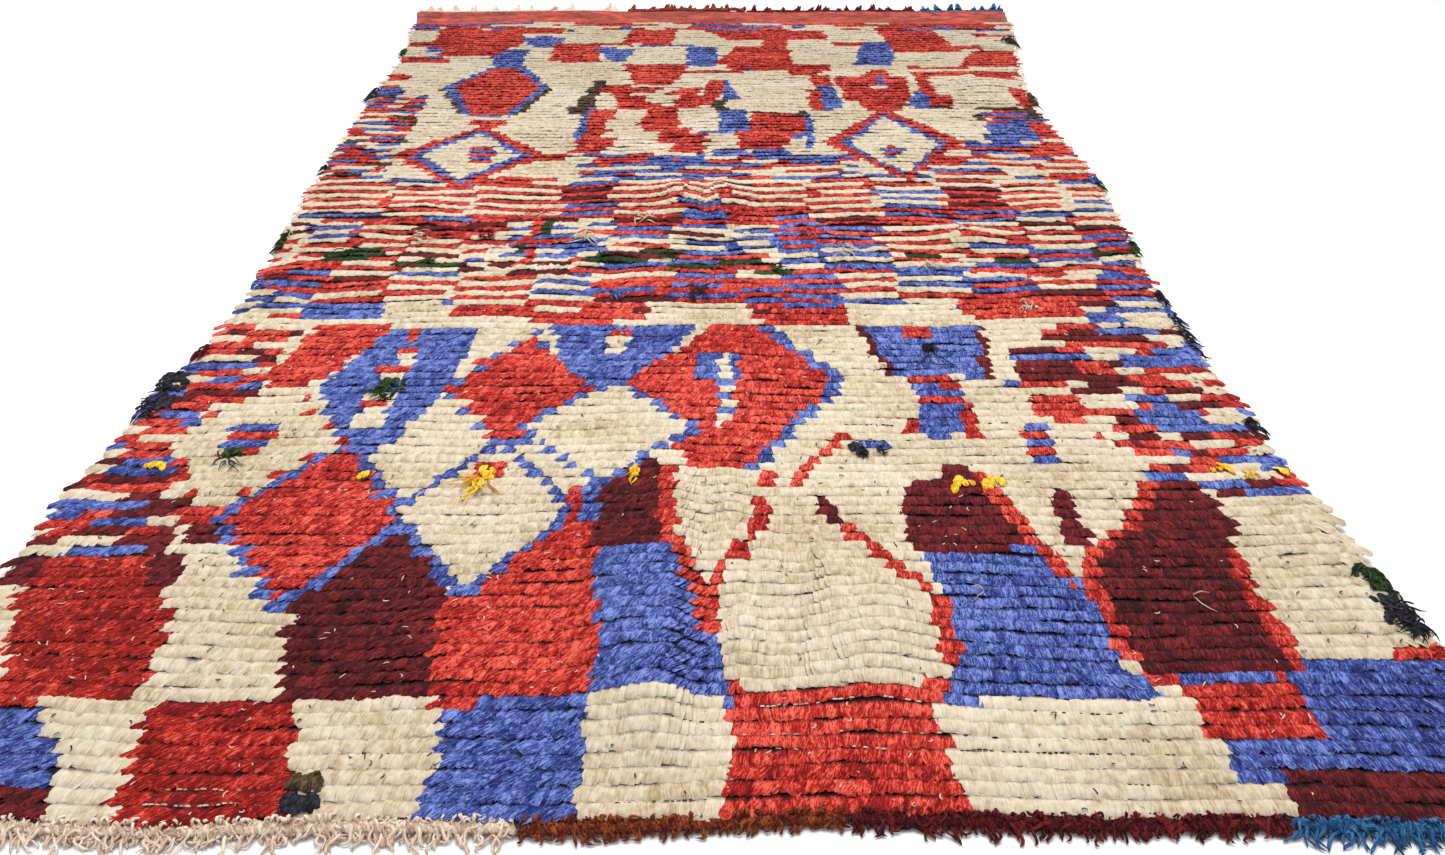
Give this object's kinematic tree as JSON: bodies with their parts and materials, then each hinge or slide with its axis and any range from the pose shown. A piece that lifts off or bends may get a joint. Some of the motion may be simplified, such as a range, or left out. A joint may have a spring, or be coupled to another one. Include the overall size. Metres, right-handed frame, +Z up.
{
  "type": "moroccan rug",
  "caption": "Hand-knotted wool pile rug lying flat, with lozenges, checks and broken stripes, a flat-woven far end, fringed ends and tufted sides.",
  "frame": {"origin": "middle of the rug's footprint, on the floor, under its underside", "axes": "+X across the rug to its right side, +Y along it from the front fringe to the flat-woven far end, +Z up out of the pile"},
  "size_m": [1.8639, 2.9522, 0.0356],
  "materials": {
    "yarn_cream": "hand-spun undyed wool, matt",
    "yarn_rust": "plied rust-brown warp ends, matt",
    "yarn_burgundy": "dark red wool, matt",
    "yarn_blue": "steel-blue warp ends, matt",
    "yarn_coral": "coral-red wool pile, matt with a soft sheen",
    "pile_blue": "cornflower-blue wool pile, matt",
    "pile_green": "bottle-green wool pile, matt",
    "pile_dark": "black and navy wool pile, matt",
    "pile_yellow": "yellow wool tufts, matt",
    "pile_brown": "brown wool pile, matt",
    "weft_cloth": "plain-woven ground of coral and cream wefts, matt"
  },
  "bodies": {
    "root": {"rug_cloth": "yarn_coral", "front_fringe_cream": "yarn_cream", "front_fringe_rust": "yarn_rust", "front_fringe_burgundy": "yarn_burgundy", "front_fringe_blue": "yarn_blue", "far_fringe_cream": "yarn_cream", "far_fringe_rust": "yarn_rust", "far_fringe_burgundy": "yarn_burgundy", "far_fringe_blue": "yarn_blue", "left_selvedge": "yarn_cream", "right_selvedge": "yarn_cream"}
  },
  "joints": []
}
